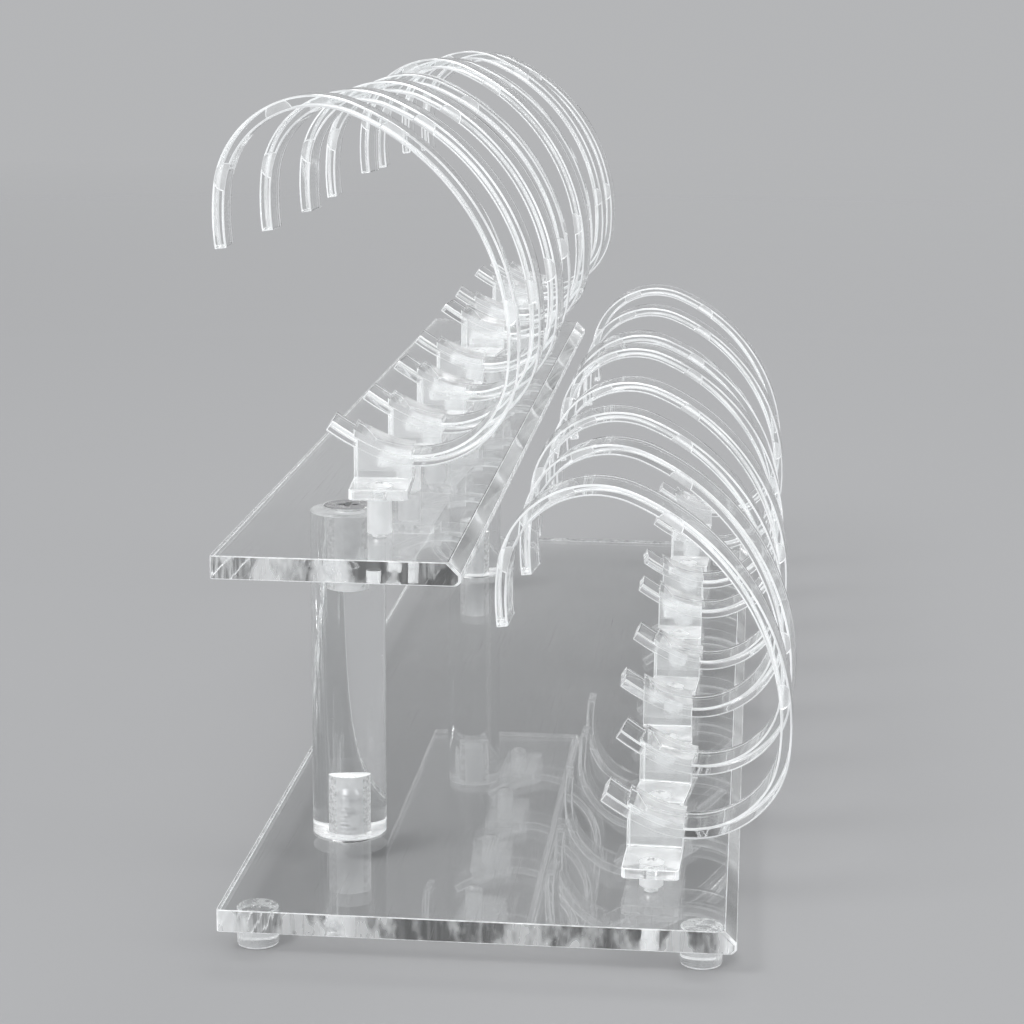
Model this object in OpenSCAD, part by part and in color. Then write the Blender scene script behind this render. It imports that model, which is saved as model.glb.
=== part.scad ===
// Two-tier clear acrylic display rack. A long base plate on four round feet carries two columns,
// the columns carry a narrower upper plate, and a row of eight open oval rings stands on each plate.
// Every ring is one moulding: a flat strip bent into a leaning oval, with a block and a screw tab
// at its foot. A countersunk screw holds each tab down on a short round post.
// The long side runs along Y, the front is at -Y, and the rings open towards -X.
// The origin is the middle of the whole footprint, at the height of the surface it stands on.

/* [Plates] */
// Length of both plates, along the rack
plate_length = 360; // [356:1:400]
// Width of the upper plate, across the rack. Its left edge stands over the base plate's left edge
upper_w = 52; // [46:1:54]
// Thickness of the sheet both plates are cut from
sheet_t = 5; // [4:0.5:6]
// Bevel along the top of each plate's right edge
bevel = 2.6; // [1.5:0.1:3]
// Small break along the bottom of each plate's right edge
edge_break = 0.8; // [0.3:0.1:1.2]
// Radius of the plates' four corners, seen from above
corner_r = 0.8; // [0.4:0.1:2]

/* [Feet] */
// Diameter of the round feet
foot_d = 9; // [8:0.5:12]
// Height of the round feet
foot_h = 5; // [4:0.5:8]
// Break round the rim that a foot stands on
foot_break = 0.5; // [0.2:0.1:1]
// Distance from the base plate's edges to the middle of a foot
foot_inset = 7.5; // [7:0.1:10]

/* [Columns] */
// Diameter of the two columns
column_d = 17; // [15:0.5:19]
// Length of the columns between the plates
column_h = 72; // [70:1:74]
// Distance from the plates' left edges to the columns' axes
column_inset_x = 20; // [18:0.5:22]
// Distance from each end of the plates to the nearer column's axis
column_inset_y = 53; // [48:1:58]
// Depth of the hole drilled into each end of a column
column_bore_depth = 14; // [13:0.5:20]
// Diameter of the screws that hold the columns
column_screw_d = 6; // [5:0.1:6.6]
// Diameter of those screws' countersunk heads
column_head_d = 11; // [10:0.1:11.4]
// Length of those screws, head included
column_screw_length = 16; // [14:0.5:16.5]

/* [Rings] */
// Outer radius of the oval's two ends
ring_end_r = 21.9; // [21.4:0.1:22.4]
// Step of the oval: its half length is the end radius and three steps, its half width one step
ring_step = 6.9; // [6.6:0.1:7]
// Lean of the oval's long axis towards the open side, from upright
ring_lean = 31; // [30:0.5:32]
// Width of the strip, along the rack
strip_w = 12; // [9:0.5:12.5]
// Thickness of the strip
strip_t = 2.6; // [2.2:0.1:2.8]
// Length of the strip past the lower joint of its curves, out to the free lower end, in degrees
lower_reach = 13.2; // [8:0.1:14]
// Length of the strip past the upper joint of its curves, down to the hanging tip, in degrees
upper_reach = 13.3; // [8:0.1:14]

/* [Ring feet] */
// Width of the screw tab
tab_w = 12.6; // [12:0.1:13]
// Thickness of the screw tab
tab_t = 2.3; // [2:0.1:2.6]
// Radius of the tab's two front corners
tab_corner = 1.2; // [0.5:0.1:2]
// Length of the tab in front of its screw's axis
tab_front = 5; // [4.4:0.1:5.5]
// Distance from the screw's axis to the front face of the strip
strip_front = 8.7; // [8:0.1:9.5]
// Height of the strip's lowest outer point above the tab
strip_lift = 2.3; // [1.8:0.1:3]
// Thickness added to the inside of the strip over the block
saddle_t = 1; // [0.6:0.1:1.3]
// Distance from the screw's axis to the middle of the oval, towards the open side
ring_offset = 3.4; // [3:0.1:4]
// Diameter of the tab's screws
ring_screw_d = 3; // [2.5:0.1:3.2]
// Diameter of those screws' oval heads
ring_head_d = 5.6; // [5:0.1:6]
// Height of the domed part of those heads
ring_head_dome = 0.7; // [0.4:0.1:0.9]

/* [Posts and rows] */
// Diameter of the posts the tabs stand on
post_d = 5.3; // [5:0.1:6]
// Height of the shortest posts on the base plate
lower_post_h = 3; // [2.5:0.5:4]
// Height of the shortest posts on the upper plate
upper_post_h = 7; // [6:0.5:8]
// Extra height of each lower post, front to back
lower_lifts = [0, 0, 0, 0, 2.5, 0, 2, 3];
// Extra height of each upper post, front to back
upper_lifts = [1, 0, 0, 0, 2.5, 1, 2, 0];
// Gap between the upper plate's right edge and the open side of the lower rings
row_gap = 1.5; // [1:0.1:12]
// Distance from the base plate's right edge to the row of lower ring screws
lower_row_inset = 19; // [18:0.1:24]
// Distance from the upper plate's right edge to the row of upper ring screws
upper_row_inset = 20.5; // [19:0.1:21.5]
// Distance from the front edge to the first ring's screw
first_ring_inset = 25.5; // [20:0.5:30]
// Distance from the last ring's screw to the rear edge
last_ring_inset = 16; // [10:0.5:30]
// Turn of each lower ring about its screw, front to back, with the back swung to the right
lower_turns = [2, 6, -2, 3, -1, -4, 2, 0];
// Turn of each upper ring about its screw, front to back, with the back swung to the right
upper_turns = [-4, 0, 3, -2, 5, -3, 1, 2];

/* [Hidden] */
$fn = 96;

ring_count = 8;
// Play round a screw, except in the hole that a ring's screw has cut its thread in
screw_play = 0.15;
column_bore_d = column_screw_d + 2 * screw_play;
// How far a ring screw goes into the plate under its post
screw_bite = 3.5;
// How far a blind hole goes on past its screw's point
hole_spare = 0.5;
// Distance by which a cut passes a surface, so that it leaves no skin
cut = 0.1;
// Diameter of the cross recess in a column screw's head, and of a ring screw's
column_recess_d = 5;
ring_recess_d = 2.8;
// Width of the recess's slots against their length
recess_ratio = 0.26;

// Levels, from the surface the rack stands on
base_top = foot_h + sheet_t;
upper_z = base_top + column_h;
upper_top = upper_z + sheet_t;

// The oval has four arcs, small ones round its ends and large ones along its sides. Their centres
// and joints lie on triangles with sides of three, four and five steps, so the arcs meet exactly
end_reach = 3 * ring_step;
side_reach = 4 * ring_step;
side_r = ring_end_r + 5 * ring_step;
joint_way = [0.8, 0.6];
joint_angle = atan2(joint_way[1], joint_way[0]);

// Middle of the oval, and the middles of two of its arcs once it leans, seen from the front
lower_end_z = tab_t + strip_lift + ring_end_r;
ring_centre = [-ring_offset, lower_end_z + end_reach * cos(ring_lean)];
lower_centre = ring_centre + end_reach * [sin(ring_lean), -cos(ring_lean)];
open_centre = ring_centre + side_reach * [cos(ring_lean), sin(ring_lean)];
closed_centre = ring_centre - side_reach * [cos(ring_lean), sin(ring_lean)];
strip_back = strip_front + strip_w;

// Farthest points of a ring to either side of its screw, before it is turned
open_side = open_centre[0] - side_r;
closed_side = closed_centre[0] + side_r;

// How far a point of the strip's edge lies to the right of its screw, once its ring is turned.
// The strip's back or front edge reaches farther, depending on the side and on the turn
function swung(x, turn) =
    x * cos(turn) + (x * turn > 0 ? strip_back : strip_front) * sin(turn);

// How far the strip's back edge lies behind its screw, once its ring is turned
function swung_back(turn) =
    strip_back * cos(turn) + max(-open_side * sin(turn), -closed_side * sin(turn));

// The base plate is as wide as the upper plate and the row of lower rings beside it need
lower_row_room = -min([for (turn = lower_turns) swung(open_side, turn)]);
base_w = upper_w + row_gap + lower_row_room + lower_row_inset;

// Distance from one ring's screw to the next
ring_pitch = (plate_length - first_ring_inset - last_ring_inset) / (ring_count - 1);

// The widest reach of the rings to either side and to the rear, from the plates' left front corners
reach_left = min([for (turn = upper_turns) upper_w - upper_row_inset + swung(open_side, turn)]);
reach_right = max([for (turn = lower_turns) base_w - lower_row_inset + swung(closed_side, turn)]);
last_turns = [lower_turns[ring_count - 1], upper_turns[ring_count - 1]];
reach_back = plate_length - last_ring_inset + max([for (turn = last_turns) swung_back(turn)]);

// Places across and along the rack, those of the columns and feet from left to right or from the
// front to the rear
left_x = -(min(0, reach_left) + max(base_w, reach_right)) / 2;
right_x = left_x + base_w;
front_y = -max(plate_length, reach_back) / 2;
rear_y = front_y + plate_length;
column_x = left_x + column_inset_x;
column_y = [front_y + column_inset_y, rear_y - column_inset_y];
foot_x = [left_x + foot_inset, right_x - foot_inset];
foot_y = [front_y + foot_inset, rear_y - foot_inset];
lower_row_x = right_x - lower_row_inset;
upper_row_x = left_x + upper_w - upper_row_inset;
first_ring_y = front_y + first_ring_inset;

// Heights of the posts under each row of rings
lower_heights = [for (lift = lower_lifts) lower_post_h + lift];
upper_heights = [for (lift = upper_lifts) upper_post_h + lift];

// Height of the strip's middle surface on an arc's lower half, at a distance across the ring
function strip_z(x, centre, radius) =
    centre[1] - sqrt(pow(radius - strip_t / 2, 2) - pow(x - centre[0], 2));

// Points of the strip's middle surface over the tab, from left to right. They lie on the open
// side's arc as far as the joint of the two arcs, and on the lower end's arc from there on
block_steps = 12;
joint_x = lower_centre[0] - (ring_end_r - strip_t / 2) * cos(ring_lean + joint_angle);
block_top = [
    for (k = [0:block_steps])
        let (x = -tab_w / 2 + tab_w * k / block_steps)
        [x, x < joint_x ? strip_z(x, open_centre, side_r) : strip_z(x, lower_centre, ring_end_r)]
];

// Outline of a plate, seen from above
module plate_outline(width) {
    hull() {
        for (x = [corner_r, width - corner_r]) {
            for (y = [corner_r, plate_length - corner_r]) {
                translate([x, y]) circle(r = corner_r);
            }
        }
    }
}

// Cross-section of a plate, seen from the front, with both breaks on its right edge
module plate_section(width) {
    polygon([
        [0, 0], [width - edge_break, 0], [width, edge_break],
        [width, sheet_t - bevel], [width - bevel, sheet_t], [0, sheet_t]
    ]);
}

// A whole plate, with its left front corner at the origin
module plate_blank(width) {
    intersection() {
        translate([0, plate_length, 0]) rotate([90, 0, 0]) linear_extrude(plate_length) plate_section(width);
        linear_extrude(sheet_t) plate_outline(width);
    }
}

// Countersunk screw with its point upwards and its flat head face at z = 0
module countersunk_screw(length, shank_d, head_d, recess_d) {
    head_h = (head_d - shank_d) / 2;
    difference() {
        union() {
            cylinder(h = head_h, d1 = head_d, d2 = shank_d);
            translate([0, 0, head_h]) cylinder(h = length - head_h, d = shank_d);
        }
        translate([0, 0, -cut]) cross_recess(recess_d, head_h * 0.6 + cut);
    }
}

// Cross-shaped hole for a driver
module cross_recess(size, depth) {
    for (turn = [0, 90]) {
        rotate([0, 0, turn]) translate([-size / 2, -size * recess_ratio / 2, 0])
            cube([size, size * recess_ratio, depth]);
    }
}

// Hole that takes a countersunk screw, from its head face at z = 0 upwards
module countersink_cut(depth, shank_d, head_d) {
    head_h = (head_d - shank_d) / 2;
    cylinder(h = head_h, d1 = head_d, d2 = shank_d);
    translate([0, 0, -cut]) cylinder(h = cut, d = head_d);
    cylinder(h = depth, d = shank_d + 2 * screw_play);
}

// Puts its child at both columns
module at_columns() {
    for (y = column_y) {
        translate([column_x, y, 0]) children();
    }
}

// Blind holes for a row of ring screws, in a plate with its top at a level
module ring_screw_holes(row_x, level) {
    for (k = [0:ring_count - 1]) {
        translate([row_x, first_ring_y + k * ring_pitch, level - screw_bite - hole_spare])
            cylinder(h = screw_bite + hole_spare + cut, d = ring_screw_d);
    }
}

module base_plate() {
    color([0.86, 0.88, 0.9, 0.35])
    difference() {
        translate([left_x, front_y, foot_h]) plate_blank(base_w);
        at_columns() translate([0, 0, foot_h])
            countersink_cut(sheet_t + cut, column_screw_d, column_head_d);
        ring_screw_holes(lower_row_x, base_top);
    }
}

module upper_plate() {
    color([0.86, 0.88, 0.9, 0.35])
    difference() {
        translate([left_x, front_y, upper_z]) plate_blank(upper_w);
        at_columns() translate([0, 0, upper_top]) mirror([0, 0, 1])
            countersink_cut(sheet_t + cut, column_screw_d, column_head_d);
        ring_screw_holes(upper_row_x, upper_top);
    }
}

// Column with a drilled hole in each end
module column(y) {
    color([0.9, 0.92, 0.94, 0.4])
    translate([column_x, y, base_top])
    difference() {
        cylinder(h = column_h, d = column_d);
        translate([0, 0, -cut]) cylinder(h = column_bore_depth + cut, d = column_bore_d);
        translate([0, 0, column_h - column_bore_depth])
            cylinder(h = column_bore_depth + cut, d = column_bore_d);
    }
}

// Round foot under one corner of the base plate
module foot(x, y) {
    color([0.9, 0.92, 0.94, 0.4])
    translate([x, y, 0]) {
        cylinder(h = foot_break, d1 = foot_d - 2 * foot_break, d2 = foot_d);
        translate([0, 0, foot_break]) cylinder(h = foot_h - foot_break, d = foot_d);
    }
}

// Round post under a ring's tab, with the screw's hole through it
module post(row_x, k, level, height) {
    color([0.93, 0.94, 0.96, 0.5])
    translate([row_x, first_ring_y + (k - 1) * ring_pitch, level])
    difference() {
        cylinder(h = height, d = post_d);
        translate([0, 0, -cut]) cylinder(h = height + 2 * cut, d = ring_screw_d + 2 * screw_play);
    }
}

// One arc of a band inside the oval, seen from the front before the oval leans. The band lies
// between two depths under the oval's outer line, and the arc between two points far out
module band_arc(centre, radius, depths, from, to) {
    intersection() {
        translate(centre) difference() {
            circle(r = radius - depths[0]);
            circle(r = radius - depths[1]);
        }
        polygon([centre, centre + from, centre + to]);
    }
}

// A band from the free lower end, round the closed side, to the hanging tip
module band(depths) {
    far = 2 * side_r;
    right = far * joint_way[0];
    up = far * joint_way[1];
    free_end = far * [-cos(joint_angle - lower_reach), -sin(joint_angle - lower_reach)];
    tip_end = far * [-cos(joint_angle - upper_reach), sin(joint_angle - upper_reach)];
    linear_extrude(strip_w) {
        band_arc([side_reach, 0], side_r, depths, free_end, [-right, -up]);
        band_arc([0, -end_reach], ring_end_r, depths, [-right, -up], [right, -up]);
        band_arc([-side_reach, 0], side_r, depths, [right, -up], [right, up]);
        band_arc([0, end_reach], ring_end_r, depths, [right, up], [-right, up]);
        band_arc([side_reach, 0], side_r, depths, [-right, up], tip_end);
    }
}

// Stands a band up in its place, with its lean
module leaning() {
    translate([ring_centre[0], strip_back, ring_centre[1]])
    rotate([90, 0, 0])
    rotate([0, 0, ring_lean])
    children();
}

// The strip itself
module strip() {
    leaning() band([0, strip_t]);
}

// Thicker seat inside the strip, as wide as the tab
module saddle() {
    intersection() {
        leaning() band([strip_t / 2, strip_t + saddle_t]);
        translate([-tab_w / 2, strip_front - cut, 0]) cube([tab_w, strip_w + 2 * cut, ring_end_r]);
    }
}

// Block between the strip and the tab, with its top following the strip
module block() {
    translate([0, strip_back, 0])
    rotate([90, 0, 0])
    linear_extrude(strip_w)
    polygon(concat([[tab_w / 2, 0], [-tab_w / 2, 0]], block_top));
}

// Flat tab that the screw goes through, with its front corners rounded
module tab() {
    translate([-tab_w / 2, -tab_front + tab_corner, 0])
        cube([tab_w, tab_front - tab_corner + strip_back, tab_t]);
    translate([-tab_w / 2 + tab_corner, -tab_front, 0]) cube([tab_w - 2 * tab_corner, tab_corner, tab_t]);
    for (side = [-1, 1]) {
        translate([side * (tab_w / 2 - tab_corner), -tab_front + tab_corner, 0])
            cylinder(h = tab_t, r = tab_corner);
    }
}

// One ring with its moulded foot, its screw's axis at the origin and its tab's underside at z = 0
module ring_moulding() {
    difference() {
        union() {
            strip();
            saddle();
            block();
            tab();
        }
        translate([0, 0, tab_t]) mirror([0, 0, 1])
            countersink_cut(tab_t + cut, ring_screw_d, ring_head_d);
    }
}

// The ring with number k of a row
module ring(row_x, k, level, turn) {
    color([0.92, 0.94, 0.96, 0.4])
    translate([row_x, first_ring_y + (k - 1) * ring_pitch, level])
    rotate([0, 0, -turn])
    ring_moulding();
}

// Screw of a ring, with an oval head, its tab's top at z = 0 and its point downwards
module ring_screw(length) {
    dome_r = (pow(ring_head_d / 2, 2) + pow(ring_head_dome, 2)) / (2 * ring_head_dome);
    difference() {
        union() {
            mirror([0, 0, 1]) cylinder(h = (ring_head_d - ring_screw_d) / 2, d1 = ring_head_d, d2 = ring_screw_d);
            mirror([0, 0, 1]) cylinder(h = length, d = ring_screw_d);
            intersection() {
                translate([0, 0, ring_head_dome - dome_r]) sphere(r = dome_r);
                cylinder(h = ring_head_dome + cut, d = ring_head_d);
            }
        }
        translate([0, 0, -ring_head_dome / 2]) cross_recess(ring_recess_d, 2 * ring_head_dome);
    }
}

// The screws of a whole row of rings, from the height of the plate and that of each post
module ring_screws(row_x, level, heights, turns) {
    color([0.8, 0.8, 0.82, 0.8])
    for (k = [0:ring_count - 1]) {
        translate([row_x, first_ring_y + k * ring_pitch, level + heights[k] + tab_t])
            rotate([0, 0, -turns[k]]) ring_screw(tab_t + heights[k] + screw_bite);
    }
}

module column_base_screws() {
    color("silver")
    at_columns() translate([0, 0, foot_h])
        countersunk_screw(column_screw_length, column_screw_d, column_head_d, column_recess_d);
}

module column_top_screws() {
    color("silver")
    at_columns() translate([0, 0, upper_top]) mirror([0, 0, 1])
        countersunk_screw(column_screw_length, column_screw_d, column_head_d, column_recess_d);
}

base_plate();
upper_plate();
column(column_y[0]);  // front_column
column(column_y[1]);  // rear_column
foot(foot_x[0], foot_y[0]);  // foot_front_left
foot(foot_x[1], foot_y[0]);  // foot_front_right
foot(foot_x[0], foot_y[1]);  // foot_rear_left
foot(foot_x[1], foot_y[1]);  // foot_rear_right
for (k = [1:ring_count]) {
    lower_height = lower_heights[k - 1];
    upper_height = upper_heights[k - 1];
    ring(lower_row_x, k, base_top + lower_height, lower_turns[k - 1]);
    ring(upper_row_x, k, upper_top + upper_height, upper_turns[k - 1]);
    post(lower_row_x, k, base_top, lower_height);
    post(upper_row_x, k, upper_top, upper_height);
}
ring_screws(lower_row_x, base_top, lower_heights, lower_turns);  // lower_ring_screws
ring_screws(upper_row_x, upper_top, upper_heights, upper_turns);  // upper_ring_screws
column_base_screws();
column_top_screws();
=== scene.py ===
from math import atan2, cos, pi, radians, sin, sqrt

import bmesh
import bpy
from bpy.props import FloatProperty, FloatVectorProperty, IntProperty, PointerProperty
from bpy.types import Operator, Panel, PropertyGroup
from mathutils import Matrix, Vector


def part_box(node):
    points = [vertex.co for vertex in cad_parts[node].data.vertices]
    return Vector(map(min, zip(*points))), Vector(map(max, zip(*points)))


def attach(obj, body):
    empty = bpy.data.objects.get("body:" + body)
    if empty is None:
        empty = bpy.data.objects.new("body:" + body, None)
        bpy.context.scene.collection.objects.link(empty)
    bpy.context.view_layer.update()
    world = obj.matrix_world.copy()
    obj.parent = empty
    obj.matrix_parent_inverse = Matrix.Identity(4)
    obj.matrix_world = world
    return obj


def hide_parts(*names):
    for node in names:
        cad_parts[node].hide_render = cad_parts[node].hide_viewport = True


bl_info = {
    "name": "Acrylic jewelry rack",
    "version": (1, 0, 0),
    "blender": (4, 5, 0),
    "location": "View3D > Sidebar > Rack",
    "description": "Dresses the two-tier clear acrylic rack in detailed pieces and real finishes",
    "category": "Object",
}

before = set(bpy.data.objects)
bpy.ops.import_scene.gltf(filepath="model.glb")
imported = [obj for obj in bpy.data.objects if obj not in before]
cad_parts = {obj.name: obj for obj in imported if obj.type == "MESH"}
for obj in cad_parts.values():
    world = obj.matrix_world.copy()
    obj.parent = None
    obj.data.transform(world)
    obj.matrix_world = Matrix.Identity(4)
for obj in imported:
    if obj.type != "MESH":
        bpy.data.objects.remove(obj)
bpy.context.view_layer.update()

BODY = "root"
RINGS = 8
TIERS = ("lower", "upper")
COLUMNS = ("front_column", "rear_column")
# A face-to-face joint is left open by this much, so that the two clear faces don't share a place
JOINT = 0.00003
# Two points nearer than this are one
WELD = 1e-7
# A cutter stands out of the face that it cuts by this much
PROUD = 0.001
# A ring screw's reach into its plate, its hole's depth there, and the length of the hole's point
SCREW_REACH, HOLE_DEPTH, HOLE_POINT = 0.0035, 0.0038, 0.0005
# Faces that meet at less than this angle are shaded as one surface
SMOOTH = radians(8)
# A face with more than this much of an axis in its normal faces along that axis
FACING = 0.9
# The floor fades into the pale room towards this radius
FLOOR_RADIUS = 2.2
# Width of the picture in pixels
PICTURE = 1024


# ---------------------------------------------------------------- sizes and finishes

class RackPlateSizes(PropertyGroup):
    """Edges of the two plates"""
    bevel: FloatProperty(
        name="Bevel", description="Bevel along the top of the right edge",
        default=0.0026, min=0.001, max=0.003, subtype="DISTANCE", unit="LENGTH")
    edge_break: FloatProperty(
        name="Edge break", description="Break along the bottom of the right edge",
        default=0.0008, min=0.0002, max=0.0015, subtype="DISTANCE", unit="LENGTH")
    corner: FloatProperty(
        name="Corner", description="Radius of the corners, seen from above",
        default=0.0008, min=0.0003, max=0.002, subtype="DISTANCE", unit="LENGTH")
    edge_round: FloatProperty(
        name="Edge rounding", description="Rounding left on the other edges by polishing",
        default=0.00018, min=0.0, max=0.0005, subtype="DISTANCE", unit="LENGTH")


class RackRodSizes(PropertyGroup):
    """Columns, feet and posts"""
    bore: FloatProperty(
        name="Bore", description="Diameter of the drilled hole in each end of a column",
        default=0.0063, min=0.005, max=0.008, subtype="DISTANCE", unit="LENGTH")
    bore_depth: FloatProperty(
        name="Bore depth", description="Depth of the drilled hole, without its cone",
        default=0.014, min=0.01, max=0.02, subtype="DISTANCE", unit="LENGTH")
    post_hole: FloatProperty(
        name="Post hole", description="Diameter of the hole through a post",
        default=0.0033, min=0.0025, max=0.004, subtype="DISTANCE", unit="LENGTH")
    sides: IntProperty(
        name="Sides", description="Faces round a column", default=96, min=24, max=160)


class RackRingSizes(PropertyGroup):
    """One ring with its foot and screw, and the size of its ejector marks"""
    end_radius: FloatProperty(
        name="End radius", description="Outer radius of the oval's two ends",
        default=0.0219, min=0.018, max=0.026, subtype="DISTANCE", unit="LENGTH")
    step: FloatProperty(
        name="Step", description="The oval's half length is the end radius and three steps",
        default=0.0069, min=0.004, max=0.009, subtype="DISTANCE", unit="LENGTH")
    lean: FloatProperty(
        name="Lean", description="Lean of the long axis towards the open side",
        default=radians(31), min=0.0, max=radians(45), subtype="ANGLE")
    width: FloatProperty(
        name="Strip width", description="Width of the strip, along the rack",
        default=0.012, min=0.008, max=0.014, subtype="DISTANCE", unit="LENGTH")
    thickness: FloatProperty(
        name="Strip thickness", description="Thickness of the strip",
        default=0.0026, min=0.002, max=0.0035, subtype="DISTANCE", unit="LENGTH")
    rounding: FloatProperty(
        name="Strip rounding", description="Radius along the strip's four edges",
        default=0.00045, min=0.0001, max=0.001, subtype="DISTANCE", unit="LENGTH")
    lower_reach: FloatProperty(
        name="Lower reach", description="Strip past the lower joint of its curves",
        default=radians(13.2), min=0.0, max=radians(20), subtype="ANGLE")
    upper_reach: FloatProperty(
        name="Upper reach", description="Strip past the upper joint of its curves",
        default=radians(13.3), min=0.0, max=radians(20), subtype="ANGLE")
    front: FloatProperty(
        name="Strip front", description="From the screw's axis to the strip's front face",
        default=0.0087, min=0.006, max=0.012, subtype="DISTANCE", unit="LENGTH")
    lift: FloatProperty(
        name="Lift", description="Height of the strip's lowest point above the tab",
        default=0.0023, min=0.001, max=0.004, subtype="DISTANCE", unit="LENGTH")
    offset: FloatProperty(
        name="Offset", description="From the screw's axis to the oval's middle",
        default=0.0034, min=0.0, max=0.006, subtype="DISTANCE", unit="LENGTH")
    saddle: FloatProperty(
        name="Saddle", description="Thickness added inside the strip over its block",
        default=0.001, min=0.0003, max=0.002, subtype="DISTANCE", unit="LENGTH")
    tab_width: FloatProperty(
        name="Tab width", description="Width of the screw tab and of its block",
        default=0.0126, min=0.01, max=0.015, subtype="DISTANCE", unit="LENGTH")
    tab_thickness: FloatProperty(
        name="Tab thickness", description="Thickness of the screw tab",
        default=0.0023, min=0.0015, max=0.003, subtype="DISTANCE", unit="LENGTH")
    tab_front: FloatProperty(
        name="Tab front", description="Length of the tab in front of its screw's axis",
        default=0.005, min=0.004, max=0.007, subtype="DISTANCE", unit="LENGTH")
    tab_corner: FloatProperty(
        name="Tab corner", description="Radius of the tab's two front corners",
        default=0.0012, min=0.0003, max=0.003, subtype="DISTANCE", unit="LENGTH")
    head: FloatProperty(
        name="Screw head", description="Diameter of the oval-headed screw's head",
        default=0.0056, min=0.004, max=0.007, subtype="DISTANCE", unit="LENGTH")
    dome: FloatProperty(
        name="Screw dome", description="Height of the head's domed part",
        default=0.0007, min=0.0002, max=0.001, subtype="DISTANCE", unit="LENGTH")
    shank: FloatProperty(
        name="Screw shank", description="Diameter of the screw",
        default=0.003, min=0.002, max=0.004, subtype="DISTANCE", unit="LENGTH")
    mark: FloatProperty(
        name="Ejector mark", description="Diameter of the ejector marks on the strip's faces",
        default=0.0056, min=0.002, max=0.008, subtype="DISTANCE", unit="LENGTH")


class RackTurns(PropertyGroup):
    """Small turn of each ring about its screw, front to back"""
    lower: FloatVectorProperty(
        name="Lower turns", description="Turn of each lower ring, back swung to the right",
        size=RINGS, subtype="NONE", default=[radians(a) for a in (2, 6, -2, 3, -1, -4, 2, 0)])
    upper: FloatVectorProperty(
        name="Upper turns", description="Turn of each upper ring, back swung to the right",
        size=RINGS, subtype="NONE", default=[radians(a) for a in (-4, 0, 3, -2, 5, -3, 1, 2)])


class RackFinish(PropertyGroup):
    """Colours and light"""
    acrylic: FloatVectorProperty(
        name="Acrylic", description="Tint of the clear acrylic",
        size=3, subtype="COLOR", min=0.0, max=1.0, default=(0.975, 0.982, 0.982))
    edge: FloatVectorProperty(
        name="Edge", description="Colour of cut and frosted faces",
        size=3, subtype="COLOR", min=0.0, max=1.0, default=(0.95, 0.97, 0.975))
    steel: FloatVectorProperty(
        name="Steel", description="Colour of the plated column screws",
        size=3, subtype="COLOR", min=0.0, max=1.0, default=(0.78, 0.78, 0.79))
    floor: FloatVectorProperty(
        name="Floor", description="Colour of the pale floor",
        size=3, subtype="COLOR", min=0.0, max=1.0, default=(0.6, 0.605, 0.615))
    lamp: FloatProperty(
        name="Lamp power", description="Power of the main soft lamp",
        default=15.0, min=0.0, max=100.0, subtype="POWER", unit="POWER")


class RackSettings(PropertyGroup):
    """Everything that the rack's operators read"""
    plates: PointerProperty(type=RackPlateSizes, name="Plates", description="Edges of the plates")
    rods: PointerProperty(type=RackRodSizes, name="Rods", description="Columns, feet and posts")
    rings: PointerProperty(type=RackRingSizes, name="Rings", description="Rings and their feet")
    turns: PointerProperty(type=RackTurns, name="Turns", description="Turn of each ring")
    finish: PointerProperty(type=RackFinish, name="Finish", description="Colours and light")


# ---------------------------------------------------------------- mesh helpers

def soften(bm, edges, size, segments=2):
    """Rounds edges, and leaves the faces beside them flat"""
    bmesh.ops.bevel(bm, geom=list(edges), offset=size, offset_type="OFFSET", segments=segments,
                    profile=0.5, affect="EDGES", material=-1, clamp_overlap=True)


def sharp(bm, angle):
    """Edges where two faces meet at more than an angle"""
    bm.normal_update()
    return [e for e in bm.edges if len(e.link_faces) == 2 and e.calc_face_angle() > angle]


def tidy_shell(bm):
    """Merges what touches and turns all faces outwards"""
    bmesh.ops.remove_doubles(bm, verts=bm.verts, dist=WELD)
    bmesh.ops.recalc_face_normals(bm, faces=bm.faces)
    return bm


def prism(points, way):
    """A closed solid: the face through some points, pushed along a vector"""
    bm = bmesh.new()
    face = bm.faces.new([bm.verts.new(p) for p in points])
    grown = bmesh.ops.extrude_face_region(bm, geom=[face], use_keep_orig=True)
    moved = [g for g in grown["geom"] if isinstance(g, bmesh.types.BMVert)]
    bmesh.ops.translate(bm, verts=moved, vec=way)
    return tidy_shell(bm)


def turned(profile, sides, axis_at=(0.0, 0.0, 0.0)):
    """A turned solid: the line through (radius, height) points, spun once round the Z axis"""
    bm = bmesh.new()
    line = [bm.verts.new((r, 0.0, z)) for r, z in profile]
    edges = [bm.edges.new(pair) for pair in zip(line, line[1:])]
    if min(profile[0][0], profile[-1][0]) > WELD:
        edges.append(bm.edges.new((line[-1], line[0])))
    bmesh.ops.spin(bm, geom=line + edges, cent=(0, 0, 0), axis=(0, 0, 1), dvec=(0, 0, 0),
                   angle=2 * pi, steps=sides, use_merge=True)
    tidy_shell(bm)
    bmesh.ops.translate(bm, verts=bm.verts, vec=axis_at)
    return bm


def to_mesh(name, bm):
    """The mesh of a finished bmesh, which is freed"""
    mesh = bpy.data.meshes.new(name)
    bm.to_mesh(mesh)
    bm.free()
    return mesh


def put(name, data):
    """A new object, placed in the scene"""
    ob = bpy.data.objects.new(name, data)
    bpy.context.scene.collection.objects.link(ob)
    return ob


def add(bm, other):
    """Puts one mesh's solids beside another's"""
    mesh = to_mesh("passed_on", other)
    bm.from_mesh(mesh)
    bpy.data.meshes.remove(mesh)
    return bm


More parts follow.
